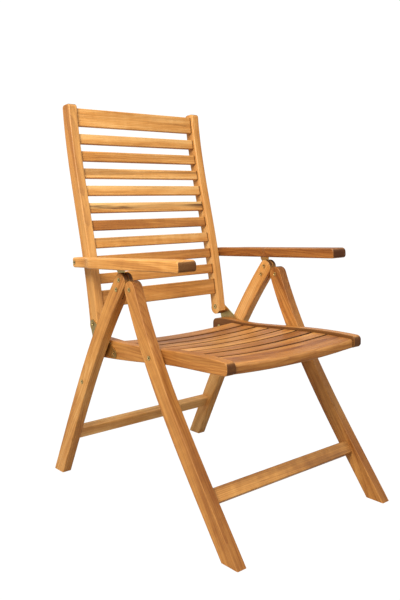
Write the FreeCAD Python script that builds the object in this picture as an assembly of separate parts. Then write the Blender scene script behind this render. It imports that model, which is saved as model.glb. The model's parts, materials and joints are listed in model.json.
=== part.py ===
import FreeCAD, Part
import os
from math import atan2, cos, degrees, radians, sin
os.makedirs("parts", exist_ok=True)
V = FreeCAD.Vector

# High-back folding armchair in oiled hardwood.  Millimetres, +Z up, the sitter faces -Y.
# The origin is on the floor, under the middle of the chair.  Left is the sitter's left, +X.

# ---- stock and widths, measured across the chair ---------------------------------------
LEG_IN, LEG_OUT = 248.5, 276.5          # inner and outer face of a leg
LEG_MIDDLE = (LEG_IN + LEG_OUT) / 2.0
RAIL_IN, RAIL_OUT = 213.5, 240.5        # seat rails and back stiles share this plane
LEG_WIDTH = 44.0                        # seen from the side
STILE_WIDTH = 38.6
EASE = 2.5                              # rounding along wooden edges
STILE_EASE = 3.5
BLOCK = 400.0                           # larger than any piece that it trims

# ---- pivots, as (y, z) ----------------------------------------------------------------
PLATE_TOP = (37.0, 598.5)               # upper fixing of the leg plate
PLATE_LOW = (49.5, 573.0)
LEG_PIVOT = (-8.5, 577.5)               # front leg on rear leg
SEAT_PIVOT = (-87.7, 417.4)             # seat on front leg
LINK_LOW = (230.3, 296.8)               # fold link on rear leg
LINK_TOP = (202.0, 396.9)               # fold link on seat rail
HINGE_FRONT = (117.0, 390.0)            # front fixing of the back hinge plate
BACK_PIVOT = (221.6, 458.1)
ARM_PIVOT = (250.0, 630.5)
PIN_AT = (38.0, 628.5)                  # adjusting pin in the leg plate

# ---- legs -----------------------------------------------------------------------------
FRONT_LINE = [(-373.0, 0.0), (-173.0, 274.6), (-8.5, 577.5)]
REAR_LINE = [(376.3, 0.0), (221.9, 302.5), (33.6, 595.0)]
REAR_SLOT = 44.0                         # depth of the plate's slot below the rear leg's top
SLOT_ABOVE = 30.0                       # the slot's cutter stands this far above the top
POCKET_ROOM = 1.2                       # around the plate's eye in the front leg
POCKET_REACH = 70.0                     # from the pivot out past the leg's rear edge
POCKET_OPEN, POCKET_SHUT = 26.0, -68.0  # directions that the plate passes as the chair folds
PLATE_SLOT = 3.6
PLATE_THICK = 3.0
STRETCHER = (35.0, 23.0)                # height along the leg, thickness
FRONT_STRETCHER = (-280.0, 119.0, 38.6)
REAR_STRETCHER = (317.4, 125.6, -26.0)
TENON = 14.0
SHOULDER = 10.0                         # a tenon is smaller than its stretcher by this

# ---- seat -----------------------------------------------------------------------------
RAIL_REAR, RAIL_FRONT = 233.0, -331.0
RAIL_TOP = [(RAIL_REAR, 418.5), (160.0, 424.3), (88.0, 423.0), (20.0, 425.8), (-57.0, 431.4),
            (-154.0, 438.0), (-235.0, 441.0), (RAIL_FRONT, 440.0)]
RAIL_LOW = [(RAIL_REAR, 367.5), (90.0, 376.5), (-20.0, 388.0), (-113.0, 398.2),
            (-203.0, 403.5), (RAIL_FRONT, 409.0)]
RAIL_NOSE, RAIL_HEEL = 12.0, 16.0       # rounding of the rail's front and rear ends
SLAT_BELOW = 7.0                        # slat ends below the rail's top edge
SLAT_SAG = 8.0                          # the seat is hollowed across its width
SEAT_SLATS = 7                          # narrow ones, behind the wide front slat
SEAT_SLAT = (45.5, 15.0)
SEAT_PITCH = 54.9
FIRST_SLAT = 116.5                      # y of the rearmost slat's middle
FRONT_SLAT = (-245.0, -326.0, 24.0)     # rear edge, front edge, thickness
FRONT_SLAT_NOSE, FRONT_SLAT_CHIN = 9.0, 5.0
STUB = (-10.0, 9.0)                     # a slat's tenon, from and to, about the rail's face
STUB_SIDE, STUB_FACE = 4.0, 3.0         # how far it is inside the slat's sides and faces
SLOPE_SPAN = 20.0                       # half the stretch over which the seat's slope is taken

# ---- back -----------------------------------------------------------------------------
STILE_LINE = [(219.6, 445.0), (229.5, 515.0), (246.0, 605.0), (283.5, 762.0), (320.0, 910.0),
              (346.6, 1075.0)]
STILE_FOOT = (220.2, 454.0)             # middle of the stile's round foot
STILE_FOOT_INSET = 0.25
STILE_TOP_ROUND = 10.0
BACK_SLATS = 9
BACK_SLAT = (29.0, 14.0)
SLAT_SET = -3.6                         # slat middle ahead of the stile's middle line
FIRST_BACK_SLAT, BACK_PITCH = 976.0, 49.6
TOP_RAIL = (1038.5, 52.0)               # height of its middle, its own height
BOTTOM_RAIL = (523.0, 48.0)
BACK_TENON = 10.0

# ---- armrests, drawn level and then tilted ----------------------------------------------
ARM_THICK = 28.0
ARM_LOW = ARM_PIVOT[1] - ARM_THICK / 2.0
ARM_REAR = ARM_PIVOT[0] + 17.5
ARM_TAIL = (252.0, 280.0)               # inner and outer side behind the pad
ARM_PAD = (243.0, 298.0)                # inner and outer side of the pad
ARM_FRONT = -234.0
INNER_SWELL = (62.0, 18.0)              # where the inner side swells from tail to pad
OUTER_SWELL = (208.0, 140.0)
ARM_NOSE, ARM_CHIN = 11.0, 8.0           # rounding across the front end, above and below
ARM_EASE = 4.0
ARM_TAIL_ROUND = 13.7                   # just under half its thickness
ARM_TILT = 2.45
GROOVE = (257.0, 268.0, 12.0)           # inner side, outer side, depth
GROOVE_MIDDLE = (GROOVE[0] + GROOVE[1]) / 2.0
GROOVE_ROOF = ARM_LOW + GROOVE[2]
GROOVE_SPAN = (108.0, -62.0)
NOTCHES = 5
NOTCH_PITCH = 17.0
FIRST_NOTCH = 37.0
NOTCH_RADIUS = 4.0
STRIP_THICK = 5.5                       # the notched strip in the groove
SCREWS_AT = (92.0, -52.0)

# ---- metal ----------------------------------------------------------------------------
PLATE_EDGE = 12.0                       # from a fixing to the plate's rim
PLATE_HEAD = 7.0
PLATE_HEEL = (56.0, 622.0)              # rear end of the leg plate's head
PLATE_CREST = 630.0                     # the head is cut level, so that the pin stands proud
PIN, PIN_REACH = 2.95, 5.0              # radius, and reach to each side of the plate
PIN_HOLE = 3.0
HINGE_X = (240.9, 243.4)
LINK_X = (244.9, 247.0)
LINK_EDGE = 9.0
SHANK, HEAD, HEAD_THICK, HOLLOW = 3.6, 5.8, 1.2, 2.3
HOLLOW_DEPTH = 6.0
RUN = 0.1                               # clearance of a shank in its hole
SPACER, WASHER = 9.0, 7.0
BUSH = 7.5
INSERT_FROM = 226.0                     # inner end of a pin that stops inside rail or stile
SCREW, SCREW_HEAD, SCREW_HEAD_THICK, SCREW_LONG = 1.45, 3.2, 1.6, 8.0
SCREW_HOLE = 1.5


def point(x, yz):
    return V(x, yz[0], yz[1])


def mirrored(shape):
    return shape.mirror(V(0, 0, 0), V(1, 0, 0))


def curve(points, x):
    spline = Part.BSplineCurve()
    spline.interpolate([point(x, p) for p in points])
    return spline


def side_lines(line, half, x, count=9):
    """Both edges of a strip that follows a centre line seen from the side."""
    spline = curve(line, x)
    first, last = spline.FirstParameter, spline.LastParameter
    near, far = [], []
    for i in range(count):
        u = first + (last - first) * i / (count - 1.0)
        at = spline.value(u)
        along = spline.tangent(u)[0]
        aside = V(0, along.z, -along.y)
        near.append(at + aside * half)
        far.append(at - aside * half)
    return near, far, spline


def through(points):
    spline = Part.BSplineCurve()
    spline.interpolate(points)
    return spline.toShape()


def strip(line, half, x0, x1, round_end=True):
    """A flat board between two side planes that follows a bent centre line."""
    near, far, spline = side_lines(line, half, x0)
    close = Part.makeLine(near[-1], far[-1])
    if round_end:
        tip = spline.value(spline.LastParameter)
        along = spline.tangent(spline.LastParameter)[0]
        close = Part.Arc(near[-1], tip + along * half, far[-1]).toShape()
    start = Part.makeLine(far[0], near[0])
    wire = Part.Wire([through(near), close, through(far[::-1]), start])
    return Part.Face(wire).extrude(V(x1 - x0, 0, 0))


def prism(points, x0, x1):
    corners = [point(x0, p) for p in points]
    return Part.Face(Part.makePolygon(corners + corners[:1])).extrude(V(x1 - x0, 0, 0))


def bar(at, radius, x0, x1):
    return Part.makeCylinder(radius, x1 - x0, point(x0, at), V(1, 0, 0))


def tube(at, radius, x0, x1):
    return bar(at, radius, x0, x1).cut(bar(at, SHANK + RUN, x0, x1))


def hull(centres, radius, x0, x1):
    """A plate with equal round lobes, its centres listed anticlockwise seen from +X."""
    solid = bar(centres[0], radius, x0, x1)
    for centre in centres[1:]:
        solid = solid.fuse(bar(centre, radius, x0, x1))
    if len(centres) > 2:
        solid = solid.fuse(prism(centres, x0, x1))
    for a, b in zip(centres, centres[1:] + centres[:1]):
        along = V(0, b[0] - a[0], b[1] - a[1]).normalize()
        dy, dz = along.z * radius, -along.y * radius
        web = [(a[0] + dy, a[1] + dz), (b[0] + dy, b[1] + dz),
               (b[0] - dy, b[1] - dz), (a[0] - dy, a[1] - dz)]
        solid = solid.fuse(prism(web, x0, x1))
    return solid.removeSplitter()


def eased(solid, radius, choose):
    return solid.makeFillet(radius, [e for e in solid.Edges if choose(e)])


def flat_x(edge):
    """Whether an edge lies in a plane across X, like the outline of a board's side."""
    return edge.BoundBox.XLength < 0.01


def lengthwise(edge):
    """Whether an edge runs straight across the chair."""
    box = edge.BoundBox
    return box.XLength > 1.0 and box.YLength < 0.01 and box.ZLength < 0.01


def across(edge):
    """Whether an edge runs most of the way from side to side."""
    return edge.BoundBox.XLength > RAIL_IN


def drilled(solid, *places, start=RAIL_IN):
    """Running-fit holes from an inner plane outwards, at each (y, z)."""
    for at in places:
        solid = solid.cut(bar(at, SHANK + RUN, start - HEAD_THICK, LEG_OUT + BLOCK))
    return solid


def board(centre, lean, height, thick, x0, x1):
    """A straight rail across the chair, leaning by an angle from upright, top to the rear."""
    block = Part.makeBox(x1 - x0, thick, height, V(x0, -thick / 2.0, -height / 2.0))
    block.rotate(V(0, 0, 0), V(1, 0, 0), -lean)
    block.translate(V(0, centre[0], centre[1]))
    return block


def joined(solid, extra):
    for piece in extra.Solids:
        solid = solid.fuse(piece)
    return solid.removeSplitter()


# ---- legs -----------------------------------------------------------------------------
def plate_slot(line, depth):
    """The cutter of the slot that the leg plate is fixed in, along the leg's upper end."""
    end, before = line[-1], line[-2]
    down = V(0, before[0] - end[0], before[1] - end[1]).normalize()
    drop = (depth - SLOT_ABOVE) / 2.0
    middle = (end[0] + down.y * drop, end[1] + down.z * drop)
    lean = degrees(atan2(-down.y, -down.z))
    x0, x1 = LEG_MIDDLE - PLATE_SLOT / 2, LEG_MIDDLE + PLATE_SLOT / 2
    return board(middle, lean, depth + SLOT_ABOVE, 2 * LEG_WIDTH, x0, x1)


def plate_pocket():
    """The cutter of the front leg's pocket: it is closed in front and open to the rear."""
    far = []
    for direction in (POCKET_OPEN, POCKET_SHUT):
        turn = radians(direction)
        far.append((LEG_PIVOT[0] + POCKET_REACH * cos(turn), LEG_PIVOT[1] + POCKET_REACH * sin(turn)))
    x0, x1 = LEG_MIDDLE - PLATE_SLOT / 2, LEG_MIDDLE + PLATE_SLOT / 2
    return hull([far[0], LEG_PIVOT, far[1]], PLATE_EDGE + POCKET_ROOM, x0, x1)


def leg(line):
    """A bent leg, sawn level at the floor, with a round top."""
    rise = V(0, line[1][0] - line[0][0], line[1][1] - line[0][1]).normalize()
    below = (line[0][0] - rise.y * LEG_WIDTH, line[0][1] - rise.z * LEG_WIDTH)
    solid = strip([below] + line, LEG_WIDTH / 2.0, LEG_IN, LEG_OUT)
    floor = Part.makeBox(BLOCK, BLOCK, BLOCK, V(0, line[0][0] - BLOCK / 2, -BLOCK))
    solid = solid.cut(floor)
    solid = eased(solid, EASE, lambda e: flat_x(e) and e.BoundBox.ZMax > 1.0)
    return solid


def stretcher_body(place):
    height, thick = STRETCHER
    plain = board(place[:2], place[2], height, thick, -LEG_IN, LEG_IN)
    return eased(plain, EASE, lambda e: lengthwise(e) and across(e))


def stretcher_tenon(place):
    height, thick = STRETCHER
    reach = LEG_IN + TENON
    return board(place[:2], place[2], height - SHOULDER, thick - SHOULDER, -reach, reach)


def front_leg():
    solid = leg(FRONT_LINE).cut(plate_pocket()).cut(stretcher_tenon(FRONT_STRETCHER))
    return drilled(solid, LEG_PIVOT, SEAT_PIVOT)


def rear_leg():
    solid = leg(REAR_LINE).cut(plate_slot(REAR_LINE, REAR_SLOT)).cut(stretcher_tenon(REAR_STRETCHER))
    return drilled(solid, PLATE_TOP, PLATE_LOW, LINK_LOW)


def leg_plate():
    """The plate that the front leg turns on; its head carries the pin under the armrest."""
    x0, x1 = LEG_MIDDLE - PLATE_THICK / 2, LEG_MIDDLE + PLATE_THICK / 2
    body = hull([PLATE_TOP, LEG_PIVOT, PLATE_LOW], PLATE_EDGE, x0, x1)
    head = hull([PIN_AT, PLATE_HEEL, PLATE_TOP], PLATE_HEAD, x0, x1)
    solid = body.fuse(head).removeSplitter()
    crest = Part.makeBox(BLOCK, BLOCK, BLOCK, V(0, PIN_AT[0] - BLOCK / 2, PLATE_CREST))
    solid = drilled(solid.cut(crest), PLATE_TOP, PLATE_LOW, LEG_PIVOT)
    return solid.cut(bar(PIN_AT, PIN_HOLE, x0, x1))


def adjusting_pin():
    return bar(PIN_AT, PIN, LEG_MIDDLE - PIN_REACH, LEG_MIDDLE + PIN_REACH)


# ---- seat -----------------------------------------------------------------------------
def height_at(points, y):
    ordered = sorted(points)
    for a, b in zip(ordered, ordered[1:]):
        if a[0] <= y <= b[0]:
            return a[1] + (b[1] - a[1]) * (y - a[0]) / (b[0] - a[0])
    return ordered[0][1] if y < ordered[0][0] else ordered[-1][1]


def slope_at(points, y):
    rise = height_at(points, y + SLOPE_SPAN) - height_at(points, y - SLOPE_SPAN)
    return degrees(atan2(rise, 2 * SLOPE_SPAN))


def seat_rail(tenons):
    top = [point(RAIL_IN, p) for p in RAIL_TOP]
    low = [point(RAIL_IN, p) for p in RAIL_LOW[::-1]]
    nose, heel = Part.makeLine(top[-1], low[0]), Part.makeLine(low[-1], top[0])
    wire = Part.Wire([through(top), nose, through(low), heel])
    solid = Part.Face(wire).extrude(V(RAIL_OUT - RAIL_IN, 0, 0))
    for y, radius in ((RAIL_FRONT, RAIL_NOSE), (RAIL_REAR, RAIL_HEEL)):
        solid = eased(solid, radius, lambda e: lengthwise(e) and abs(e.BoundBox.YMin - y) < 1)
    solid = eased(solid, EASE, flat_x)
    for tenon in tenons:
        for stub in tenon.Solids:
            solid = solid.cut(stub)
    solid = drilled(solid, LINK_TOP, HINGE_FRONT)
    return solid.cut(bar(SEAT_PIVOT, BUSH + RUN, INSERT_FROM, RAIL_OUT))


def dished(width, thick):
    """A board from side to side whose middle hangs lower than its ends."""
    def arc(z):
        return Part.Arc(V(-RAIL_IN, 0, z), V(0, 0, z - SLAT_SAG), V(RAIL_IN, 0, z)).toShape()
    ends = [Part.makeLine(V(x, 0, 0), V(x, 0, -thick)) for x in (-RAIL_IN, RAIL_IN)]
    outline = Part.__sortEdges__([arc(0.0), ends[1], arc(-thick), ends[0]])
    solid = Part.Face(Part.Wire(outline)).extrude(V(0, width, 0))
    solid.translate(V(0, -width / 2.0, 0))
    return solid


def place_on_seat(shape, y):
    shape.rotate(V(0, 0, 0), V(1, 0, 0), slope_at(RAIL_TOP, y))
    shape.translate(V(0, y, height_at(RAIL_TOP, y) - SLAT_BELOW))
    return shape


def seat_slat(y):
    return place_on_seat(eased(dished(*SEAT_SLAT), EASE, across), y)


def slat_tenon(y, width, thick):
    """Two stubs that run into the seat rails; the slat hangs hollow between them."""
    inner, outer = RAIL_IN + STUB[0], RAIL_IN + STUB[1]
    size = (outer - inner, width - 2 * STUB_SIDE, thick - 2 * STUB_FACE)
    stubs = [Part.makeBox(*size, V(x, STUB_SIDE - width / 2.0, STUB_FACE - thick))
             for x in (inner, -outer)]
    return place_on_seat(Part.makeCompound(stubs), y)


def front_slat():
    rear, front, thick = FRONT_SLAT
    half = (rear - front) / 2.0
    solid = dished(rear - front, thick)
    for radius, height in ((FRONT_SLAT_NOSE, 0.0), (FRONT_SLAT_CHIN, -thick)):
        solid = eased(solid, radius, lambda e: across(e) and e.BoundBox.YMax < 1 - half
                      and abs(e.BoundBox.ZMax - height) < 1)
    return place_on_seat(solid, (rear + front) / 2.0)


# ---- back -----------------------------------------------------------------------------
def on_stile(z):
    """The stile's middle line at a height: y and its lean from upright, top to the rear."""
    spline = curve(STILE_LINE, 0.0)
    low, high = spline.FirstParameter, spline.LastParameter
    for _ in range(40):
        middle = (low + high) / 2.0
        if spline.value(middle).z < z:
            low = middle
        else:
            high = middle
    along = spline.tangent(low)[0]
    return spline.value(low).y, degrees(atan2(along.y, along.z))


def back_board(z, height, thick, x_end):
    y, lean = on_stile(z)
    at = (y + SLAT_SET * cos(radians(lean)), z - SLAT_SET * sin(radians(lean)))
    return board(at, lean, height, thick, -x_end, x_end)


def back_tenon(z, height):
    reach = RAIL_IN + BACK_TENON
    return back_board(z, height - 2 * STUB_FACE, BACK_SLAT[1] - 2 * EASE, reach)


def back_rail(z, height):
    plain = back_board(z, height, BACK_SLAT[1], RAIL_IN)
    body = eased(plain, EASE, lambda e: lengthwise(e) and across(e))
    return joined(body, back_tenon(z, height))


def back_stile(tenons):
    solid = strip(STILE_LINE, STILE_WIDTH / 2.0, RAIL_IN, RAIL_OUT, False)
    top = STILE_LINE[-1][1] - STILE_WIDTH / 2.0
    solid = eased(solid, STILE_TOP_ROUND, lambda e: lengthwise(e) and e.BoundBox.ZMin > top)
    solid = eased(solid, STILE_EASE, flat_x)
    foot = bar(STILE_FOOT, STILE_WIDTH / 2.0 - STILE_FOOT_INSET, RAIL_IN, RAIL_OUT)
    solid = solid.fuse(foot).removeSplitter()
    for tenon in tenons:
        solid = solid.cut(tenon)
    for at, start in ((BACK_PIVOT, RAIL_IN), (ARM_PIVOT, INSERT_FROM)):
        solid = solid.cut(bar(at, BUSH + RUN, start, RAIL_OUT))
    return solid


# ---- armrest ----------------------------------------------------------------------------
def tilt(shape):
    shape.rotate(point(0, ARM_PIVOT), V(1, 0, 0), -ARM_TILT)
    return shape


def s_curve(x0, y0, x1, y1):
    """A double bend in plan between two lines along the armrest."""
    middle = (y0 + y1) / 2.0
    spline = Part.BezierCurve()
    spline.setPoles([V(x0, y0, ARM_LOW), V(x0, middle, ARM_LOW),
                     V(x1, middle, ARM_LOW), V(x1, y1, ARM_LOW)])
    return spline.toShape()


def arm_outline():
    corners = [(ARM_TAIL[0], ARM_REAR), (ARM_TAIL[0], INNER_SWELL[0]),
               (ARM_PAD[0], INNER_SWELL[1]), (ARM_PAD[0], ARM_FRONT),
               (ARM_PAD[1], ARM_FRONT), (ARM_PAD[1], OUTER_SWELL[1]),
               (ARM_TAIL[1], OUTER_SWELL[0]), (ARM_TAIL[1], ARM_REAR)]
    edges = []
    for i, (x, y) in enumerate(corners):
        next_x, next_y = corners[(i + 1) % len(corners)]
        if x != next_x and y != next_y:
            edges.append(s_curve(x, y, next_x, next_y))
        else:
            edges.append(Part.makeLine(V(x, y, ARM_LOW), V(next_x, next_y, ARM_LOW)))
    return Part.Wire(edges)


def arm_side(edge):
    """Whether an edge belongs to the outline of one of the armrest's long sides."""
    box = edge.BoundBox
    upright = box.ZLength > 1 and box.XLength < 0.01 and box.YLength < 0.01
    at_front = abs(box.YMax - ARM_FRONT) < 0.1
    return not lengthwise(edge) and (at_front or not upright)


def armrest():
    solid = Part.Face(arm_outline()).extrude(V(0, 0, ARM_THICK))
    for height, radius in ((ARM_LOW + ARM_THICK, ARM_NOSE), (ARM_LOW, ARM_CHIN)):
        solid = eased(solid, radius, lambda e: lengthwise(e) and abs(e.BoundBox.ZMin - height) < 0.1
                      and abs(e.BoundBox.YMin - ARM_FRONT) < 0.1)
    solid = eased(solid, ARM_EASE, arm_side)
    solid = eased(solid, ARM_TAIL_ROUND,
                  lambda e: lengthwise(e) and abs(e.BoundBox.YMin - ARM_REAR) < 0.1)
    x0, x1, depth = GROOVE
    rear, front = GROOVE_SPAN
    solid = solid.cut(Part.makeBox(x1 - x0, rear - front, 2 * depth, V(x0, front, ARM_LOW - depth)))
    solid = drilled(tilt(solid), ARM_PIVOT)
    for y in SCREWS_AT:
        solid = solid.cut(screw_hole(y))
    return solid


def notch_rail():
    """A strip in the armrest's groove whose teeth hang over the adjusting pin."""
    x0, x1 = GROOVE[:2]
    rear, front = GROOVE_SPAN
    low = GROOVE_ROOF - STRIP_THICK
    solid = Part.makeBox(x1 - x0, rear - front, STRIP_THICK, V(x0, front, low))
    for i in range(NOTCHES):
        solid = solid.cut(bar((FIRST_NOTCH - i * NOTCH_PITCH, low), NOTCH_RADIUS, x0, x1))
    solid = tilt(solid)
    for y in SCREWS_AT:
        solid = solid.cut(screw_hole(y))
    return solid


def screw_top(y):
    """Where a strip's screw starts: the face of its head, on the strip's underside."""
    return V(GROOVE_MIDDLE, y, GROOVE_ROOF - STRIP_THICK - SCREW_HEAD_THICK)


def screw_hole(y):
    return tilt(Part.makeCylinder(SCREW_HOLE, SCREW_LONG + SCREW_HEAD_THICK, screw_top(y)))


def notch_screw(y):
    head = Part.makeCylinder(SCREW_HEAD, SCREW_HEAD_THICK, screw_top(y))
    return tilt(joined(head, Part.makeCylinder(SCREW, SCREW_LONG, screw_top(y))))


# ---- metalwork ----------------------------------------------------------------------------
def rivet(at, x0, x1):
    """A tubular rivet with a ring head on each end."""
    low, high = x0 - HEAD_THICK, x1 + HEAD_THICK
    body = bar(at, SHANK, low, high)
    for a, b in ((low, x0), (x1, high)):
        body = body.fuse(bar(at, HEAD, a, b))
    body = body.cut(bar(at, HOLLOW, low, low + HOLLOW_DEPTH))
    return body.cut(bar(at, HOLLOW, high - HOLLOW_DEPTH, high))


def blind_pin(at, x1):
    """A pivot that stops inside the rail or stile, with one ring head outside."""
    high = x1 + HEAD_THICK
    body = bar(at, SHANK, INSERT_FROM, high).fuse(bar(at, HEAD, x1, high))
    return body.cut(bar(at, HOLLOW, high - HOLLOW_DEPTH, high))


def hinge_plate():
    solid = hull([BACK_PIVOT, HINGE_FRONT, LINK_TOP], PLATE_EDGE, *HINGE_X)
    return drilled(solid, BACK_PIVOT, LINK_TOP, HINGE_FRONT)


def fold_link():
    return drilled(hull([LINK_TOP, LINK_LOW], LINK_EDGE, *LINK_X), LINK_TOP, LINK_LOW)


# ---- export -----------------------------------------------------------------------------
def export(node, shapes):
    """One solid as it is, several alike as a group."""
    solids = [s for shape in shapes for s in shape.Solids]
    for solid in solids:
        if not solid.isValid() or solid.Volume <= 0:
            print("CHECK", node)
    out = solids[0] if len(solids) == 1 else Part.makeCompound(solids)
    out.exportStep("parts/%s.step" % node)
    print(node, len(solids), round(sum(s.Volume for s in solids) / 1000.0, 1), "cm3")


def pair(node, shape):
    export(node + "_left", [shape])
    export(node + "_right", [mirrored(shape)])


def both(node, *shapes):
    export(node, [s for shape in shapes for s in (shape, mirrored(shape))])


def build_seat():
    tenons = []
    for i in range(SEAT_SLATS):
        y = FIRST_SLAT - i * SEAT_PITCH
        tenons.append(slat_tenon(y, *SEAT_SLAT))
        export("seat_slat_%d" % (i + 1), [joined(seat_slat(y), tenons[-1])])
    rear, front, thick = FRONT_SLAT
    tenons.append(slat_tenon((rear + front) / 2.0, rear - front, thick))
    export("seat_slat_%d" % (SEAT_SLATS + 1), [joined(front_slat(), tenons[-1])])
    pair("seat_rail", seat_rail(tenons))


def build_back():
    export("back_top_rail", [back_rail(*TOP_RAIL)])
    export("back_bottom_rail", [back_rail(*BOTTOM_RAIL)])
    tenons = [back_tenon(*TOP_RAIL), back_tenon(*BOTTOM_RAIL)]
    for i in range(BACK_SLATS):
        z = FIRST_BACK_SLAT - i * BACK_PITCH
        tenons.append(back_tenon(z, BACK_SLAT[0]))
        export("back_slat_%d" % (i + 1), [back_rail(z, BACK_SLAT[0])])
    pair("back_stile", back_stile(tenons))


def build_frames():
    pair("front_leg", front_leg())
    pair("rear_leg", rear_leg())
    for node, place in (("front_stretcher", FRONT_STRETCHER), ("rear_stretcher", REAR_STRETCHER)):
        export(node, [joined(stretcher_body(place), stretcher_tenon(place))])
    pair("armrest", armrest())
    pair("notch_rail", notch_rail())


def build_metal():
    pair("leg_plate", leg_plate())
    pair("back_hinge_plate", hinge_plate())
    pair("fold_link", fold_link())
    both("adjusting_pins", adjusting_pin())
    both("notch_rail_screws", *[notch_screw(y) for y in SCREWS_AT])
    both("leg_plate_rivets", *[rivet(at, LEG_IN, LEG_OUT) for at in (PLATE_TOP, PLATE_LOW)])
    both("leg_pivot_rivets", rivet(LEG_PIVOT, LEG_IN, LEG_OUT))
    both("seat_pivot_pins", blind_pin(SEAT_PIVOT, LEG_OUT))
    both("seat_pivot_bushes", tube(SEAT_PIVOT, BUSH, INSERT_FROM, RAIL_OUT))
    both("seat_spacers", tube(SEAT_PIVOT, SPACER, RAIL_OUT, LEG_IN))
    both("fold_link_lower_rivets", rivet(LINK_LOW, LEG_IN, LEG_OUT))
    both("fold_link_upper_rivets", rivet(LINK_TOP, RAIL_IN, LINK_X[1]))
    both("fold_link_washers", tube(LINK_TOP, WASHER, HINGE_X[1], LINK_X[0]))
    both("hinge_plate_rivets", rivet(HINGE_FRONT, RAIL_IN, HINGE_X[1]))
    both("back_pivot_rivets", rivet(BACK_PIVOT, RAIL_IN, HINGE_X[1]))
    both("back_pivot_bushes", tube(BACK_PIVOT, BUSH, RAIL_IN, RAIL_OUT))
    both("arm_pivot_pins", blind_pin(ARM_PIVOT, ARM_TAIL[1]))
    both("arm_pivot_bushes", tube(ARM_PIVOT, BUSH, INSERT_FROM, RAIL_OUT))
    both("arm_spacers", tube(ARM_PIVOT, SPACER, RAIL_OUT, ARM_TAIL[0]))


build_seat()
build_back()
build_frames()
build_metal()
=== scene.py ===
import bpy
import bmesh
import json
from math import cos, pi, radians, sin
from mathutils import Matrix, Vector

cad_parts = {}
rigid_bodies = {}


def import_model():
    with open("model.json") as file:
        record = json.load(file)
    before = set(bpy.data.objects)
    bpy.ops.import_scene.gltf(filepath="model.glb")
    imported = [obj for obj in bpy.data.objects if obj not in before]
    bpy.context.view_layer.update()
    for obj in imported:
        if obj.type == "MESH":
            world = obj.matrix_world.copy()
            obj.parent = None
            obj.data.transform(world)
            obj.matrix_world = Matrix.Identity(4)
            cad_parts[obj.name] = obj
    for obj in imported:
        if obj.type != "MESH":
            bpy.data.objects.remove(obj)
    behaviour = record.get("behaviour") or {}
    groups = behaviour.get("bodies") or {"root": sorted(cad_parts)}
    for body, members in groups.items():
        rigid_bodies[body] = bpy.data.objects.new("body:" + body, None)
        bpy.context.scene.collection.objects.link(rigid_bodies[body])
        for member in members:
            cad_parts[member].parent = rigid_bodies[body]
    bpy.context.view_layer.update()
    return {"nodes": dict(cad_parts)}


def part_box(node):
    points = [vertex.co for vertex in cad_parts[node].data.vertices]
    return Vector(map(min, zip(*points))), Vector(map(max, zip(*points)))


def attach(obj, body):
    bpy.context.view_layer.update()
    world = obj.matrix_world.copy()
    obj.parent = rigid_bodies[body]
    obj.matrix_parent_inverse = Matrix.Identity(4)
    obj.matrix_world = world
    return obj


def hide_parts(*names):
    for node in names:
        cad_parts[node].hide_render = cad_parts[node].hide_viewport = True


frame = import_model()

# %% [markdown]
# # A folding armchair in oiled hardwood
# The frame holds every board, plate and rivet at its real size.  This lesson gives the boards
# their wood, forms the rivet and screw heads, and sets the chair in a plain, pale studio.

# %% [markdown]
# ## The viewpoint
# A high-backed chair is usually shown from in front and to one side, a little above the seat,
# with a normal lens.  The camera is built from its direction rather than from turned angles,
# because a direction is easy to read: how far round, how far down, and a slight roll.

# %% Camera
EYE = Vector((-1.2847, -1.4739, 0.8057))
ROUND, DOWN, ROLL = 0.703, 0.088, -0.009
SENSOR, LENS, SHIFT = 36.0, 42.74, -0.0656


def camera_turn(turn, down, roll):
    ahead = Vector((sin(turn) * cos(down), cos(turn) * cos(down), -sin(down)))
    level = Vector((cos(turn), -sin(turn), 0.0))
    upright = level.cross(ahead)
    right = level * cos(roll) + upright * sin(roll)
    up = upright * cos(roll) - level * sin(roll)
    return Matrix((right, up, -ahead)).transposed().to_4x4()


def place_camera():
    data = bpy.data.cameras.new("camera")
    data.sensor_width = SENSOR
    data.lens = LENS
    data.shift_y = SHIFT
    camera = bpy.data.objects.new("camera", data)
    bpy.context.scene.collection.objects.link(camera)
    camera.matrix_world = Matrix.Translation(EYE) @ camera_turn(ROUND, DOWN, ROLL)
    bpy.context.scene.camera = camera
    return camera


print("camera", [round(v, 2) for v in place_camera().matrix_world.translation])

# %% [markdown]
# ## The studio
# Garden furniture is shown in a white cove that is lit until it burns out, so that the
# chair stands on plain white and casts no shadow.  The white is only what the eye sees: much
# less light than that reaches the chair from around, or its gaps and undersides would be washed
# out.  Light Path tells the two apart, both in the world and in the floor.

# %% White surroundings and floor
FLOOR_SIZE = 40.0
SOFT_LIGHT, SEEN_LIGHT = 0.70, 1.05
FLOOR_GREY = (0.42, 0.40, 0.38, 1.0)
WHITE = (1.0, 1.0, 1.0, 1.0)


def seen_white(tree, plain, kind):
    """Mixes a shader with bare white, which only the eye sees."""
    mix = tree.nodes.new("ShaderNodeMixShader")
    white = tree.nodes.new(kind)
    white.inputs["Color"].default_value = WHITE
    white.inputs["Strength"].default_value = SEEN_LIGHT
    tree.links.new(tree.nodes.new("ShaderNodeLightPath").outputs["Is Camera Ray"], mix.inputs[0])
    tree.links.new(plain.outputs[0], mix.inputs[1])
    tree.links.new(white.outputs[0], mix.inputs[2])
    return mix.outputs[0]


def white_world():
    world = bpy.data.worlds.new("studio")
    world.use_nodes = True
    tree = world.node_tree
    soft = tree.nodes["Background"]
    soft.inputs["Color"].default_value = WHITE
    soft.inputs["Strength"].default_value = SOFT_LIGHT
    tree.links.new(seen_white(tree, soft, "ShaderNodeBackground"), tree.nodes["World Output"].inputs[0])
    bpy.context.scene.world = world


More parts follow.
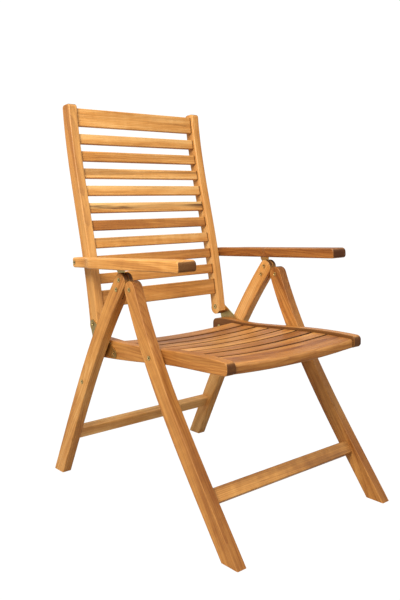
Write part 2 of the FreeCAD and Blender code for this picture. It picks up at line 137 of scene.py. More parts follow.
def white_floor():
    bpy.ops.mesh.primitive_plane_add(size=FLOOR_SIZE, location=(0.0, 0.0, 0.0))
    floor = bpy.context.object
    floor.name = "studio_floor"
    material = bpy.data.materials.new("floor_paint")
    material.use_nodes = True
    tree = material.node_tree
    paint = tree.nodes["Principled BSDF"]
    paint.inputs["Base Color"].default_value = FLOOR_GREY
    paint.inputs["Roughness"].default_value = 0.9
    tree.links.new(seen_white(tree, paint, "ShaderNodeEmission"), tree.nodes["Material Output"].inputs[0])
    floor.data.materials.append(material)


white_world()
white_floor()
bpy.context.scene.view_settings.view_transform = "Standard"
print("surroundings", SOFT_LIGHT, "floor", FLOOR_SIZE)

# %% [markdown]
# ## The lamps
# One soft lamp stands near, high on the viewer's left.  Because it is near, its light falls off
# over the chair: the near side, the back and the armrest are bright, and the far legs and the
# feet are darker.  A weak lamp overhead gives the seat and the slats' top edges a pale line.

# %% Lamps
def soft_lamp(name, place, aim, size, power, colour):
    data = bpy.data.lights.new(name, "AREA")
    data.size = size
    data.energy = power
    data.color = colour
    lamp = bpy.data.objects.new(name, data)
    lamp.location = place
    lamp.rotation_euler = (Vector(aim) - Vector(place)).to_track_quat("-Z", "Y").to_euler()
    bpy.context.scene.collection.objects.link(lamp)


soft_lamp("key", (-1.55, -0.75, 1.9), (0.0, 0.25, 0.85), 0.8, 47.0, (1.0, 0.97, 0.92))
soft_lamp("top", (-0.3, 0.2, 2.6), (0.0, 0.1, 0.5), 1.2, 14.0, (1.0, 0.98, 0.95))

# %% [markdown]
# ## Building shaders in code
# A few small helpers keep the node trees readable: they add a node and fill in its sockets, do
# sums, blend two colours and open a new group.  A socket can be given a plain value or the
# output of another node, so a line reads like a formula.

# %% Node helpers
def fill(tree, socket, value):
    if isinstance(value, bpy.types.NodeSocket):
        tree.links.new(value, socket)
    else:
        socket.default_value = value


def add_node(tree, kind, inputs=(), **settings):
    node = tree.nodes.new(kind)
    for name, value in settings.items():
        setattr(node, name, value)
    for name, value in dict(inputs).items():
        fill(tree, node.inputs[name], value)
    return node


def maths(tree, operation, *values, clamp=False):
    node = add_node(tree, "ShaderNodeMath", operation=operation, use_clamp=clamp)
    for socket, value in zip(node.inputs, values):
        fill(tree, socket, value)
    return node.outputs[0]


def times(tree, first, second):
    return maths(tree, "MULTIPLY", first, second)


def added(tree, value, amount, base):
    """base + amount x value"""
    return maths(tree, "MULTIPLY_ADD", value, amount, base)


def vector_maths(tree, operation, first, second):
    return add_node(tree, "ShaderNodeVectorMath", {0: first, 1: second}, operation=operation).outputs[0]


def parts_of(tree, vector):
    return add_node(tree, "ShaderNodeSeparateXYZ", {"Vector": vector}).outputs


def ramp_between(tree, value, low, high):
    """0 below low, 1 above high, and smooth between; low may be the larger of the two."""
    node = add_node(tree, "ShaderNodeMapRange", interpolation_type="SMOOTHSTEP",
                    inputs={"Value": value, "From Min": low, "From Max": high})
    return node.outputs["Result"]


def tint(tree, amount, under, over):
    node = add_node(tree, "ShaderNodeMix", data_type="RGBA")
    for index, value in ((0, amount), (6, under), (7, over)):
        fill(tree, node.inputs[index], value)
    return node.outputs[2]


def new_group(name, inputs, outputs):
    tree = bpy.data.node_groups.new(name, "ShaderNodeTree")
    for names, side in ((inputs, "INPUT"), (outputs, "OUTPUT")):
        for label, kind in names.items():
            tree.interface.new_socket(name=label, in_out=side, socket_type="NodeSocket" + kind)
    return tree, tree.nodes.new("NodeGroupInput").outputs, tree.nodes.new("NodeGroupOutput").inputs


print("helpers ready for Blender", bpy.app.version_string)

# %% [markdown]
# ## Wood grain
# A board is cut from a tree, so its figure comes from growth rings round a pith that usually
# lies outside the board.  Where the cut runs along the rings they open into long arches, and
# where it crosses them they are narrow lines.  Over that lie fine fibres and pores, which run
# along the board, slow changes of colour, dark heartwood streaks and, near the bark, pale
# sapwood.  All of it could be one picture wrapped round the boards, but then the sides and ends
# of a board wouldn't match.  Noise in space, stretched along the grain, runs through the board.

# %% Stretched noise and growth rings
RING_WIDTH = 0.0042
EARLY_WOOD = 2.6                 # how sharply a ring darkens towards its outer edge
PITH_ASIDE, PITH_BELOW = (0.04, 0.02), (0.02, 0.045)
PITH_DRIFT = 0.05


def stretched_noise(tree, place, along, across, detail, rough, warp):
    scaled = vector_maths(tree, "MULTIPLY", place, (along, across, across))
    noise = add_node(tree, "ShaderNodeTexNoise", {
        "Vector": scaled, "Scale": 1.0, "Detail": detail, "Roughness": rough, "Distortion": warp})
    return noise.outputs["Fac"]


def centred(tree, value):
    return maths(tree, "SUBTRACT", value, 0.5)


def ring_lines(tree, place, wander, seed):
    """Growth rings: 1 on the dark edge of a ring, falling to 0 over the pale early wood."""
    axes = parts_of(tree, place)
    aside = added(tree, maths(tree, "SINE", times(tree, seed, 5.1)), *PITH_ASIDE)
    below = added(tree, maths(tree, "COSINE", times(tree, seed, 3.3)), *PITH_BELOW)
    drift = times(tree, centred(tree, wander), PITH_DRIFT)
    y = maths(tree, "ADD", maths(tree, "ADD", axes[1], aside), drift)
    z = maths(tree, "ADD", axes[2], below)
    radius = maths(tree, "SQRT", maths(tree, "ADD", times(tree, y, y), times(tree, z, z)))
    ring = maths(tree, "FRACT", maths(tree, "DIVIDE", radius, RING_WIDTH))
    return maths(tree, "POWER", ring, EARLY_WOOD)


print("rings", round(RING_WIDTH * 1000, 1), "mm apart")

# %% [markdown]
# ## The figure of a board
# The group takes a place in the board, in metres, with the grain along X.  Each noise has its
# own number of periods per metre along and across the grain.  They are added up to one level
# from dark to pale, and a colour ramp turns the level into wood.  Streaks, sapwood and pores are
# laid over it.  Every board has its own seed, tone and amount of streaks, so no two match.

# %% The grain group
NOISES = {                       # along, across, detail, roughness, warp
    "wander": (1.7, 6.0, 2.0, 0.55, 0.0), "fibre": (7.0, 300.0, 5.0, 0.62, 0.0),
    "cloud": (2.2, 22.0, 3.0, 0.5, 0.6), "bars": (42.0, 16.0, 2.0, 0.55, 0.0),
    "pore": (34.0, 1100.0, 2.0, 0.55, 0.0), "streak": (2.2, 60.0, 3.0, 0.5, 0.5)}
SEED_STEP = (7.3, 2.1, 4.7)
# HEART_AND_SHADE is the dark of heartwood streaks, and also the colour of painted shade in the finish.
HEART_AND_SHADE, DEEP = (0.07, 0.020, 0.005, 1.0), (0.20, 0.060, 0.012, 1.0)
HONEY, AMBER = (0.63, 0.285, 0.068, 1.0), (0.39, 0.146, 0.030, 1.0)
STRAW, SAP = (0.81, 0.46, 0.165, 1.0), (0.86, 0.56, 0.22, 1.0)
CLOUD_DEPTH, FIBRE_DEPTH, RING_DEPTH, PORE_DEPTH = 1.25, 0.75, -0.20, 0.35


def wood_ramp(tree, level):
    ramp = add_node(tree, "ShaderNodeValToRGB", {"Fac": level})
    ramp.color_ramp.elements[0].color = DEEP
    ramp.color_ramp.elements[1].color = STRAW
    for at, colour in ((0.34, AMBER), (0.68, HONEY)):
        ramp.color_ramp.elements.new(at).color = colour
    return ramp.outputs["Color"]


def sapwood_mask(tree, place, cloud, amount):
    """Pale wood on the front of a board, with a border that wanders."""
    border = added(tree, centred(tree, cloud), 0.05, parts_of(tree, place)[2])
    return times(tree, ramp_between(tree, border, -0.004, 0.010), amount)


def make_grain():
    tree, given, result = new_group(
        "board_grain",
        {"Place": "Vector", "Seed": "Float", "Tone": "Float", "Streaks": "Float", "Sapwood": "Float",
         "Figure": "Float"},
        {"Color": "Color", "Roughness": "Float", "Height": "Float"})
    step = add_node(tree, "ShaderNodeVectorMath", {"Vector": SEED_STEP, "Scale": given["Seed"]},
                    operation="SCALE").outputs[0]
    place = vector_maths(tree, "ADD", given["Place"], step)
    noise = {name: stretched_noise(tree, place, *values) for name, values in NOISES.items()}
    rings = ring_lines(tree, given["Place"], noise["wander"], given["Seed"])
    pores = ramp_between(tree, noise["pore"], 0.60, 0.72)
    streaks = ramp_between(tree, noise["streak"], 0.50, 0.63)

    level = added(tree, centred(tree, noise["cloud"]), CLOUD_DEPTH, given["Tone"])
    level = added(tree, centred(tree, noise["fibre"]), FIBRE_DEPTH, level)
    level = added(tree, rings, RING_DEPTH, level)
    shimmer = times(tree, centred(tree, noise["bars"]), given["Figure"])
    level = maths(tree, "ADD", level, shimmer, clamp=True)

    pale = sapwood_mask(tree, given["Place"], noise["cloud"], given["Sapwood"])
    colour = tint(tree, pale, wood_ramp(tree, level), SAP)
    colour = tint(tree, maths(tree, "MULTIPLY", streaks, given["Streaks"], clamp=True), colour, HEART_AND_SHADE)
    fill(tree, result["Color"], tint(tree, times(tree, pores, PORE_DEPTH), colour, DEEP))
    fill(tree, result["Roughness"], added(tree, pores, 0.2, added(tree, noise["fibre"], -0.16, 0.50)))
    relief = added(tree, pores, -0.8, noise["fibre"])
    fill(tree, result["Height"], added(tree, rings, -0.25, relief))
    return tree


grain = make_grain()
print("grain group nodes", len(grain.nodes))

# %% [markdown]
# ## Sawn ends, handled edges and painted shade
# End grain drinks oil and turns dark and dull.  Rounded edges are rubbed by hands and cloths, so
# they are a little paler and smoother than the faces, and their paler colour is also a painted
# highlight.  Where a slat meets its rail a fine dark line of painted shadow lies in the corner,
# and the narrow sides between the seat slats and the inner sides of the seat rails are painted
# with shade.  The front of a leg is painted with shade, darker than its lit sides, and a knot is
# a small dark oval.  Ends, edges and sides are read from the direction that the surface faces in
# the board's own frame: along the grain is an end, and between two faces is an edge.  The rest is
# read from the place in the board.

# %% Masks of a board
# The joint line is a painted shadow where a slat meets its rail; the inner face is painted shade on a
# seat rail's inner side.
JOINT_SHADOW = (0.0070, 0.0010)  # from the rail: where the dark line starts, where it is full
INNER_FACE = (0.0105, 0.0125)    # from the middle of a seat rail
KNOT_STRETCH = (0.4, 1.0, 1.0)


def facing_masks(tree, facing):
    """Sawn ends, eased edges (worn, with a painted highlight), and the painted shade of narrow sides and
    of the front.
    """
    size = add_node(tree, "ShaderNodeVectorMath", {0: facing}, operation="ABSOLUTE").outputs[0]
    x, y, z = parts_of(tree, size)
    squarest = maths(tree, "MAXIMUM", x, maths(tree, "MAXIMUM", y, z))
    return (ramp_between(tree, x, 0.45, 0.85), ramp_between(tree, squarest, 0.965, 0.80),
            ramp_between(tree, y, 0.35, 0.80), ramp_between(tree, parts_of(tree, facing)[2], 0.45, 0.90))


def place_masks(tree, given):
    """The painted shadow of the joint line, the painted shade of a rail's inner side, and the knot."""
    along, aside, _ = parts_of(tree, given["Place"])
    gap = maths(tree, "SUBTRACT", given["Joint"], maths(tree, "ABSOLUTE", along))
    offset = vector_maths(tree, "SUBTRACT", given["Place"], given["Knot"])
    oval = vector_maths(tree, "MULTIPLY", offset, KNOT_STRETCH)
    away = add_node(tree, "ShaderNodeVectorMath", {0: oval}, operation="LENGTH").outputs["Value"]
    return (ramp_between(tree, gap, *JOINT_SHADOW),
            ramp_between(tree, times(tree, aside, given["Inner"]), *INNER_FACE),
            ramp_between(tree, away, given["Knot Size"], 0.0))


print("masks for ends, edges, sides, fronts, joints, inner sides and knots")

# %% [markdown]
# ## Laying the masks over the wood
# Each mask blends the wood towards a dark colour: old oil on a sawn end, the knot's own dark, and
# painted shade on a joint line, a narrow side, a rail's inner side and a leg's front.  On an edge it
# blends towards straw, for wear and a painted highlight.  The order matters: a joint line or a sawn
# end has to lie over everything else.

# %% The finishing group
def make_finish():
    tree, given, result = new_group(
        "board_finish",
        {"Color": "Color", "Roughness": "Float", "Facing": "Vector", "Place": "Vector", "Joint": "Float",
         "Sides": "Float", "Front": "Float", "Inner": "Float", "Knot": "Vector", "Knot Size": "Float"},
        {"Color": "Color", "Roughness": "Float"})
    end, edge, side, front = facing_masks(tree, given["Facing"])
    joint, inner, knot = place_masks(tree, given)
    colour = given["Color"]
    # The edge lays wear and a painted highlight; the sides, front, inner side and joint line lay painted
    # shade.
    for mask, amount, over in ((edge, 0.15, STRAW), (side, given["Sides"], HEART_AND_SHADE),
                               (front, given["Front"], DEEP), (inner, 0.75, HEART_AND_SHADE),
                               (knot, 0.9, HEART_AND_SHADE), (end, 0.84, HEART_AND_SHADE), (joint, 0.88, HEART_AND_SHADE)):
        colour = tint(tree, times(tree, mask, amount), colour, over)
    fill(tree, result["Color"], colour)
    smooth = added(tree, edge, -0.08, given["Roughness"])
    fill(tree, result["Roughness"], added(tree, end, 0.22, smooth))
    return tree


finish = make_finish()
print("finish group nodes", len(finish.nodes))

# %% [markdown]
# ## A material for each board
# One material for all the wood would run the same rings through every board, as if the chair
# were cut from one block.  Here each board has its own: a Mapping node turns the object's
# coordinates until the grain lies along X and puts zero in the middle of the board.

# %% Board materials
NO_JOINT = 9.0                   # far outside any board
NO_KNOT = (9.0, 9.0, 9.0)
KNOT_SIZE = 0.007
GRAIN_RELIEF, RELIEF_STRENGTH = 0.00035, 0.7
PLAIN_BOARD = {"Streaks": 0.0, "Sapwood": 0.0, "Figure": 0.12}
PLAIN_FINISH = {"Joint": NO_JOINT, "Sides": 0.0, "Front": 0.0, "Inner": 0.0, "Knot": NO_KNOT,
                "Knot Size": KNOT_SIZE}
OILED = {"Specular IOR Level": 0.22, "Coat Weight": 0.02, "Coat Roughness": 0.35}


def grain_turn(direction):
    """Turns the grain to X.  On a leg or stile the front face then looks along the new Z."""
    along = Vector(direction).normalized()
    aside = Vector((0.0, 1.0, 0.0)) if abs(along.x) > 0.9 else Vector((-1.0, 0.0, 0.0))
    return Matrix((along, aside, along.cross(aside))).to_quaternion()


def middle_of(node):
    low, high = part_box(node)
    return (Vector(low) + Vector(high)) / 2.0


def new_material(name, constants):
    """A material whose shader has some values that are the same all over."""
    material = bpy.data.materials.new(name)
    material.use_nodes = True
    shader = material.node_tree.nodes["Principled BSDF"]
    for socket, value in constants.items():
        shader.inputs[socket].default_value = value
    return material, material.node_tree, shader


def finish_shader(tree, shader, colour, roughness, height, relief, strength):
    bump = add_node(tree, "ShaderNodeBump", {"Height": height, "Distance": relief, "Strength": strength})
    fill(tree, shader.inputs["Base Color"], colour)
    fill(tree, shader.inputs["Roughness"], roughness)
    fill(tree, shader.inputs["Normal"], bump.outputs["Normal"])


def board_material(node, direction, seed, tone, amounts):
    material, tree, shader = new_material("oiled_wood_" + node, OILED)
    turn = grain_turn(direction)
    source = add_node(tree, "ShaderNodeTexCoord").outputs
    place = add_node(tree, "ShaderNodeMapping", {
        "Vector": source["Object"], "Rotation": turn.to_euler(),
        "Location": -(turn @ middle_of(node))}).outputs[0]
    facing = add_node(tree, "ShaderNodeMapping", {
        "Vector": source["Normal"], "Rotation": turn.to_euler()}).outputs[0]
    board = {name: amounts.get(name, value) for name, value in PLAIN_BOARD.items()}
    wood = add_node(tree, "ShaderNodeGroup", node_tree=grain, inputs={
        "Place": place, "Seed": seed, "Tone": tone, **board}).outputs
    masks = {name: amounts.get(name, value) for name, value in PLAIN_FINISH.items()}
    surface = add_node(tree, "ShaderNodeGroup", node_tree=finish, inputs={
        "Color": wood["Color"], "Roughness": wood["Roughness"], "Facing": facing, "Place": place,
        **masks}).outputs
    finish_shader(tree, shader, surface["Color"], surface["Roughness"], wood["Height"],
                  GRAIN_RELIEF, RELIEF_STRENGTH)
    return material


def dress(node, material):
    mesh = frame["nodes"][node].data
    mesh.materials.clear()
    mesh.materials.append(material)


def dress_board(node, direction, seed, tone, **amounts):
    named = {name.capitalize(): value for name, value in amounts.items()}
    dress(node, board_material(node, direction, seed, tone, named))


print("a board's inputs:", ", ".join([*PLAIN_BOARD, *PLAIN_FINISH]))

# %% [markdown]
# ## The back
# The slats of one chair come from several planks.  One near the middle is a red, dark piece of
# heartwood, the one above it keeps a dark streak beside pale sapwood, and others are plain.
# The numbers below are seed, tone, streaks, sapwood and figure, from the top slat down.

# %% Slats and stiles of the back
SLAT_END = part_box("seat_rail_left")[0][0]
ACROSS, DEPTHWISE = (1.0, 0.0, 0.0), (0.0, 1.0, 0.0)
# The back boards' tones are set high, partly as painted light, so that the back reads brighter than the
# seat.
BACK_BOARDS = [
    (1.3, 0.74, 0.10, 0.30, 0.15), (2.9, 0.72, 0.15, 0.00, 0.12), (4.1, 0.80, 0.40, 0.00, 0.15),
    (5.7, 0.80, 0.10, 0.45, 0.10), (6.2, 0.74, 0.90, 0.60, 0.12), (7.9, 0.48, 0.15, 0.00, 0.18),
    (9.4, 0.70, 0.20, 0.15, 0.45), (10.6, 0.68, 0.10, 0.00, 0.15), (11.8, 0.62, 0.10, 0.00, 0.12)]
STILE_STRAIGHTNESS = 0.8         # of its box's depth, because the stile's S bend adds to the box


def dress_back():
    for i, (seed, tone, streaks, sapwood, figure) in enumerate(BACK_BOARDS):
        dress_board("back_slat_%d" % (i + 1), ACROSS, seed, tone, streaks=streaks, sapwood=sapwood,
                    figure=figure, joint=SLAT_END)
    dress_board("back_top_rail", ACROSS, 13.1, 0.80, streaks=0.15, figure=0.2, joint=SLAT_END)
    dress_board("back_bottom_rail", ACROSS, 14.7, 0.66, streaks=0.25, figure=0.2, joint=SLAT_END)
    low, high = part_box("back_stile_left")
    lean = (0.0, STILE_STRAIGHTNESS * (high[1] - low[1]), high[2] - low[2])
    dress_board("back_stile_left", lean, 15.2, 0.68, streaks=0.1)
    dress_board("back_stile_right", lean, 16.8, 0.66, streaks=0.15, sapwood=0.15)


dress_back()
print("back boards", len(BACK_BOARDS) + 4)

# %% [markdown]
# ## The seat
# The seat slats are hollowed boards that lie between two deep side rails.  The narrow sides of
# all but the wide front slat are painted with shade, as are the rails' inner sides.  The rails run
# from front to back, so their grain does too, and their front ends show dark end grain.  The
# seat's tones are set low, and lowest on the front slat, partly as painted shade.  The numbers are
# seed, tone and streaks, from the rearmost slat forwards.

# %% Slats and rails of the seat
# Painted shade on the narrow sides, standing in for the dark gaps between the slats.
SLAT_SIDES = 0.85
SEAT_BOARDS = [
    (21.3, 0.52, 0.10), (22.8, 0.46, 0.20), (24.5, 0.56, 0.10), (25.9, 0.50, 0.15),
    (27.2, 0.54, 0.10), (28.4, 0.44, 0.25), (30.1, 0.52, 0.10), (31.6, 0.34, 0.12)]


def dress_seat():
    for i, (seed, tone, streaks) in enumerate(SEAT_BOARDS):
        last = i == len(SEAT_BOARDS) - 1
        dress_board("seat_slat_%d" % (i + 1), ACROSS, seed, tone, streaks=streaks, figure=0.15,
                    joint=SLAT_END, sides=0.0 if last else SLAT_SIDES)
    dress_board("seat_rail_left", DEPTHWISE, 33.3, 0.46, streaks=0.15, inner=1.0)
    dress_board("seat_rail_right", DEPTHWISE, 34.9, 0.47, streaks=0.18, inner=-1.0)


dress_seat()
print("seat boards", len(SEAT_BOARDS) + 2)

# %% [markdown]
# ## Legs, stretchers and armrests
# Each leg is sawn from one straight plank, so its grain runs straight from foot to top although
# the leg itself is slightly bowed.  The right armrest is pale and clean.  The tones are partly
# painted light and shade of the near lamp's falloff: the far, left armrest and the front legs are
# toned darker, and the rear legs and rear stretcher paler.  For a leg the numbers are seed, tone,
# painted shade on the front and which way the leg leans as it rises.

# %% Legs, stretchers and armrests
# The third number of a leg is painted shade on its front, darker than its lit side.
LEGS = {"front_leg_left": (41.2, 0.50, 0.30, 1), "front_leg_right": (42.7, 0.50, 0.35, 1),
        "rear_leg_left": (43.6, 0.80, 0.05, -1), "rear_leg_right": (44.8, 0.66, 0.20, -1)}
KNOTS = {"front_leg_right": (0.10, 0.014, 0.006), "front_leg_left": (-0.02, 0.014, -0.004)}


def leg_direction(node, rearwards):
    low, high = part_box(node)
    return (0.0, rearwards * (high[1] - low[1]), high[2] - low[2])


def dress_frames():
    for node, (seed, tone, front, rearwards) in LEGS.items():
        dress_board(node, leg_direction(node, rearwards), seed, tone, streaks=0.12, figure=0.2,
                    front=front, knot=KNOTS.get(node, NO_KNOT))
    dress_board("front_stretcher", ACROSS, 46.1, 0.50, streaks=0.2, figure=0.5)
    dress_board("rear_stretcher", ACROSS, 47.5, 0.92, streaks=0.1, figure=0.2)
    dress_board("armrest_left", DEPTHWISE, 48.3, 0.22, streaks=0.35)
    dress_board("armrest_right", DEPTHWISE, 49.9, 0.72, streaks=0.05, figure=0.25)
    dress_board("notch_rail_left", DEPTHWISE, 51.4, 0.4)
    dress_board("notch_rail_right", DEPTHWISE, 52.6, 0.4)


dress_frames()
print("oiled boards", sum(m.name.startswith("oiled_wood") for m in bpy.data.materials))

# %% [markdown]
# ## Brass
# The plates are stamped brass with a dull yellow film, and the rivets are brass tube, bright on
# the rolled rim where it rubs and dark brown in the hollow and on the head's outer wall, partly
# film and partly painted shade.  Cloudy noise stands for the film, and a much finer one for the
# marks of stamping.  One group serves all three, with more or less film.

# %% The brass group and its materials
# BROWN_FILM_AND_SHADE is the brown of the film; on the rivets' hollow brass it is also painted shade.
BRIGHT, BROWN_FILM_AND_SHADE = (0.98, 0.74, 0.30, 1.0), (0.10, 0.06, 0.02, 1.0)
FILM_NOISE = (35.0, 35.0, 2.0, 0.55, 0.0)
MARKS_NOISE = (900.0, 2600.0, 3.0, 0.55, 0.0)
FILM_CLOUDS, CLEAN_ROUGHNESS, FILM_ROUGHNESS = 0.8, 0.24, 0.25
STAMP_RELIEF = 0.00001


def make_brass():
    tree, given, result = new_group("aged_brass", {"Place": "Vector", "Film": "Float"},
                                    {"Color": "Color", "Roughness": "Float", "Height": "Float"})
    clouds = times(tree, centred(tree, stretched_noise(tree, given["Place"], *FILM_NOISE)), FILM_CLOUDS)
    film = maths(tree, "ADD", clouds, given["Film"], clamp=True)
    fill(tree, result["Color"], tint(tree, film, BRIGHT, BROWN_FILM_AND_SHADE))
    fill(tree, result["Roughness"], added(tree, film, FILM_ROUGHNESS, CLEAN_ROUGHNESS))
    fill(tree, result["Height"], stretched_noise(tree, given["Place"], *MARKS_NOISE))
    return tree


brass = make_brass()


def brass_material(name, film):
    material, tree, shader = new_material(name, {"Metallic": 1.0})
    place = add_node(tree, "ShaderNodeTexCoord").outputs["Object"]
    aged = add_node(tree, "ShaderNodeGroup", {"Place": place, "Film": film}, node_tree=brass).outputs
    finish_shader(tree, shader, aged["Color"], aged["Roughness"], aged["Height"], STAMP_RELIEF, 1.0)
    return material


rivet_brass = brass_material("rivet_brass_finish", 0.0)
# Film 1.6 makes the hollow brass nearly black: painted shade in the hole and a painted contact shadow
# round the head.
shaded_hollow_brass = brass_material("hollow_brass_finish", 1.6)
plate_brass = brass_material("plate_brass_finish", 0.35)
print("brass group nodes", len(brass.nodes))

# %% [markdown]
# ## Plates, bushes and washers
# These have their final shape in the frame, so they only get their brass.  The bushes and
# washers are hardly seen, but they show when the chair is folded.

# %% Brass on the frame's own pieces
PLATES = ["leg_plate", "back_hinge_plate", "fold_link"]
SMALL_BRASS = ["adjusting_pins", "seat_spacers", "seat_pivot_bushes", "fold_link_washers",
               "back_pivot_bushes", "arm_pivot_bushes", "arm_spacers"]

for name in PLATES:
    for side in ("_left", "_right"):
        dress(name + side, plate_brass)
for name in SMALL_BRASS:
    dress(name, rivet_brass)
print("brass nodes", 2 * len(PLATES) + len(SMALL_BRASS))

# %% [markdown]
# ## Forming a rivet head
# A tubular rivet is set with a punch that rolls its end outwards into a ring.  Seen close, the
# head is a smooth rim, a shallow dish and a hole.  It starts as a short cylinder whose outer cap
# is inset and pushed in twice, first for the dish and then for the hole, and whose inner cap is
# inset and drawn out into the shank.  The hollow and the head's outer wall, which nothing rubs,
# get the browner brass, which is also painted shade: dark in the hole and a painted contact shadow
# round the head.  A bevel rounds every rim.

# %% Head and shank
HEAD_RADIUS, HEAD_THICK = 0.0058, 0.0012
SHANK_RADIUS, HOLE_RADIUS, HOLE_DEPTH = 0.0036, 0.0021, 0.004
DISH, RIM = 0.0003, 0.0022
ROUNDING, HEAD_SIDES = 0.0003, 32


def select_only(*pieces):
    bpy.ops.object.select_all(action="DESELECT")
    for piece in pieces:
        piece.select_set(True)
    bpy.context.view_layer.objects.active = pieces[0]


def start_edit(piece):
    select_only(piece)
    bpy.ops.object.mode_set(mode="EDIT")
    bpy.ops.mesh.select_mode(type="FACE")


def pick_cap(piece, direction):
    """Selects the one flat face that looks along a direction and lies furthest that way."""
    bpy.ops.mesh.select_all(action="DESELECT")
    shape = bmesh.from_edit_mesh(piece.data)
    facing = [f for f in shape.faces if f.normal.dot(direction) > 0.99]
    chosen = max(facing, key=lambda f: len(f.verts))
    chosen.select = True
    bmesh.update_edit_mesh(piece.data)


def pick_wall(piece):
    """Selects the outer wall of the head."""
    bpy.ops.mesh.select_all(action="DESELECT")
    shape = bmesh.from_edit_mesh(piece.data)
    for face in shape.faces:
        middle = face.calc_center_median()
        face.select = middle.yz.length > 0.9 * HEAD_RADIUS and abs(face.normal.x) < 0.1
    bmesh.update_edit_mesh(piece.data)


def darken(piece):
    """Gives the selected faces the browner brass of the second slot, which is also painted shade."""
    piece.active_material_index = 1
    bpy.ops.object.material_slot_assign()


def push(distance):
    bpy.ops.mesh.extrude_region_move(TRANSFORM_OT_translate={"value": (distance, 0.0, 0.0)})


def bevel_rims(piece, width):
    bevel = piece.modifiers.new("rims", "BEVEL")
    bevel.width = width
    bevel.segments = 3
    bevel.limit_method = "ANGLE"
    bpy.ops.object.modifier_apply(modifier=bevel.name)


def model_rivet(shank_long):
    """Half a rivet that faces +X: the head's underside lies in the plane x = 0."""
    bpy.ops.object.select_all(action="DESELECT")
    bpy.ops.mesh.primitive_cylinder_add(
        vertices=HEAD_SIDES, radius=HEAD_RADIUS, depth=HEAD_THICK,
        location=(HEAD_THICK / 2.0, 0.0, 0.0), rotation=(0.0, pi / 2.0, 0.0))
    piece = bpy.context.object
    bpy.ops.object.transform_apply(location=True, rotation=True, scale=True)
    for material in (rivet_brass, shaded_hollow_brass):
        piece.data.materials.append(material)
    start_edit(piece)
    pick_wall(piece)
    darken(piece)
    pick_cap(piece, Vector((1.0, 0.0, 0.0)))
    bpy.ops.mesh.inset(thickness=RIM)
    push(-DISH)
    bpy.ops.mesh.inset(thickness=HEAD_RADIUS - RIM - HOLE_RADIUS)
    push(-HOLE_DEPTH)
    bpy.ops.mesh.select_more()
    darken(piece)
    pick_cap(piece, Vector((-1.0, 0.0, 0.0)))
    bpy.ops.mesh.inset(thickness=HEAD_RADIUS - SHANK_RADIUS)
    push(-shank_long)
    bpy.ops.object.mode_set(mode="OBJECT")
    bevel_rims(piece, ROUNDING)
    bpy.ops.object.shade_smooth_by_angle(angle=radians(50.0))
    return piece


print("rivet head", round(HEAD_RADIUS * 2000, 1), "mm across")

# %% [markdown]
# ## Setting the rivets
# Every rivet node of the frame says where its rivets are: each rivet is a separate island of the
# node's mesh.  An island's box gives the rivet's two ends and, by its middle, the axis.  One
# rivet is modelled for each node, and every end gets a copy with its own mesh.  A blind pin has
# a head only on the chair's outer side.

# %% Copies at their places
def islands(node):
    """The lowest and highest corner of each separate solid of a node."""
    shape = bmesh.new()
    shape.from_mesh(frame["nodes"][node].data)
    bmesh.ops.remove_doubles(shape, verts=shape.verts, dist=0.00001)
    left, found = set(shape.verts), []
    while left:
        stack, island = [left.pop()], []
        while stack:
            vert = stack.pop()
            island.append(vert.co.copy())
            for edge in vert.link_edges:
                other = edge.other_vert(vert)
                if other in left:
                    left.remove(other)
                    stack.append(other)
        found.append([Vector([pick(p[a] for p in island) for a in range(3)]) for pick in (min, max)])
    shape.free()
    return sorted(found, key=lambda corners: corners[0][:])


def set_copy(model, place, outwards):
    """A copy of the rivet at a place, facing +X or, turned half round, -X."""
    piece = model.copy()
    piece.data = model.data.copy()
    turn = Matrix.Identity(4) if outwards > 0 else Matrix.Rotation(pi, 4, "Z")
    piece.data.transform(Matrix.Translation(place) @ turn)
    bpy.context.scene.collection.objects.link(piece)
    return piece


def join_pieces(pieces, name):
    select_only(*pieces)
    bpy.ops.object.join()
    pieces[0].name = name
    return pieces[0]


def form_rivets(node, body, blind=False):
    """Replaces a node of rivets by formed ones: two heads each, or one where the pin is blind."""
    places = islands(node)
    low, high = places[0]
    reach = (high.x - low.x) / 2.0 - HEAD_THICK
    model = model_rivet(2.0 * reach + HEAD_THICK if blind else reach)
    pieces = []
    for low, high in places:
        middle = (low + high) / 2.0
        outer = 1 if middle.x > 0 else -1
        for way in ((outer,) if blind else (-1, 1)):
            face = high.x - HEAD_THICK if way > 0 else low.x + HEAD_THICK
            pieces.append(set_copy(model, Vector((face, middle.y, middle.z)), way))
    bpy.data.objects.remove(model)
    piece = join_pieces(pieces, node + "_formed")
    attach(piece, body)
    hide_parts(node)
    print(piece.name, len(pieces), "heads", len(piece.data.polygons), "faces")


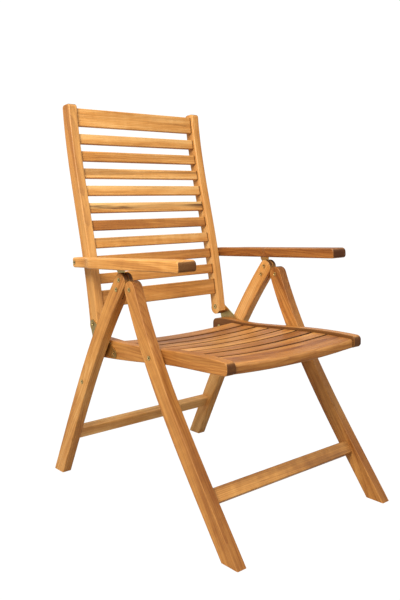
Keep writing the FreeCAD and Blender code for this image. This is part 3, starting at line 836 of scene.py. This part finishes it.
RIVETS = [("leg_plate_rivets", "rear_frame"), ("leg_pivot_rivets", "front_frame"),
          ("fold_link_lower_rivets", "rear_frame"), ("fold_link_upper_rivets", "seat"),
          ("hinge_plate_rivets", "seat"), ("back_pivot_rivets", "back_pins")]
for node, body in RIVETS:
    form_rivets(node, body)
for node, body in (("seat_pivot_pins", "front_frame"), ("arm_pivot_pins", "arm_pins")):
    form_rivets(node, body, blind=True)

# %% [markdown]
# ## Screws under the armrests
# A wood screw holds each end of the notched strip, with its head downwards.  The head is a low
# dome with a cross recess.  The dome is a cylinder with a wide bevel, and two crossed bars are
# cut out of its underside for the recess.

# %% Screw heads
SCREW_RADIUS, SCREW_THICK = 0.0032, 0.0016
DOME = 0.55 * SCREW_THICK
RECESS_LENGTH, RECESS_WIDTH = 1.2 * SCREW_RADIUS, 0.0007
SCREW_SIDES = 24


def cut_bar(piece, turn):
    """Cuts one bar of the cross out of the underside of a screw head."""
    bpy.ops.mesh.primitive_cube_add(
        size=1.0, location=(0.0, 0.0, -SCREW_THICK / 2.0), rotation=(0.0, 0.0, turn),
        scale=(RECESS_LENGTH, RECESS_WIDTH, SCREW_THICK))
    bar = bpy.context.object
    cut = piece.modifiers.new("recess", "BOOLEAN")
    cut.object = bar
    bpy.context.view_layer.objects.active = piece
    bpy.ops.object.modifier_apply(modifier=cut.name)
    bpy.data.objects.remove(bar)


def model_screw():
    bpy.ops.object.select_all(action="DESELECT")
    bpy.ops.mesh.primitive_cylinder_add(vertices=SCREW_SIDES, radius=SCREW_RADIUS, depth=SCREW_THICK)
    piece = bpy.context.object
    bevel_rims(piece, DOME)
    for turn in (0.0, pi / 2.0):
        cut_bar(piece, turn)
    select_only(piece)
    bpy.ops.object.shade_smooth_by_angle(angle=radians(40.0))
    piece.data.materials.append(rivet_brass)
    return piece


def form_screws():
    model = model_screw()
    pieces = []
    for low, high in islands("notch_rail_screws"):
        middle = (low + high) / 2.0
        place = Vector((middle.x, middle.y, low.z + SCREW_THICK / 2.0))
        pieces.append(set_copy(model, place, 1))
    bpy.data.objects.remove(model)
    piece = join_pieces(pieces, "notch_rail_screws_formed")
    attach(piece, "armrests")
    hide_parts("notch_rail_screws")
    print(piece.name, len(pieces), "screws")


form_screws()
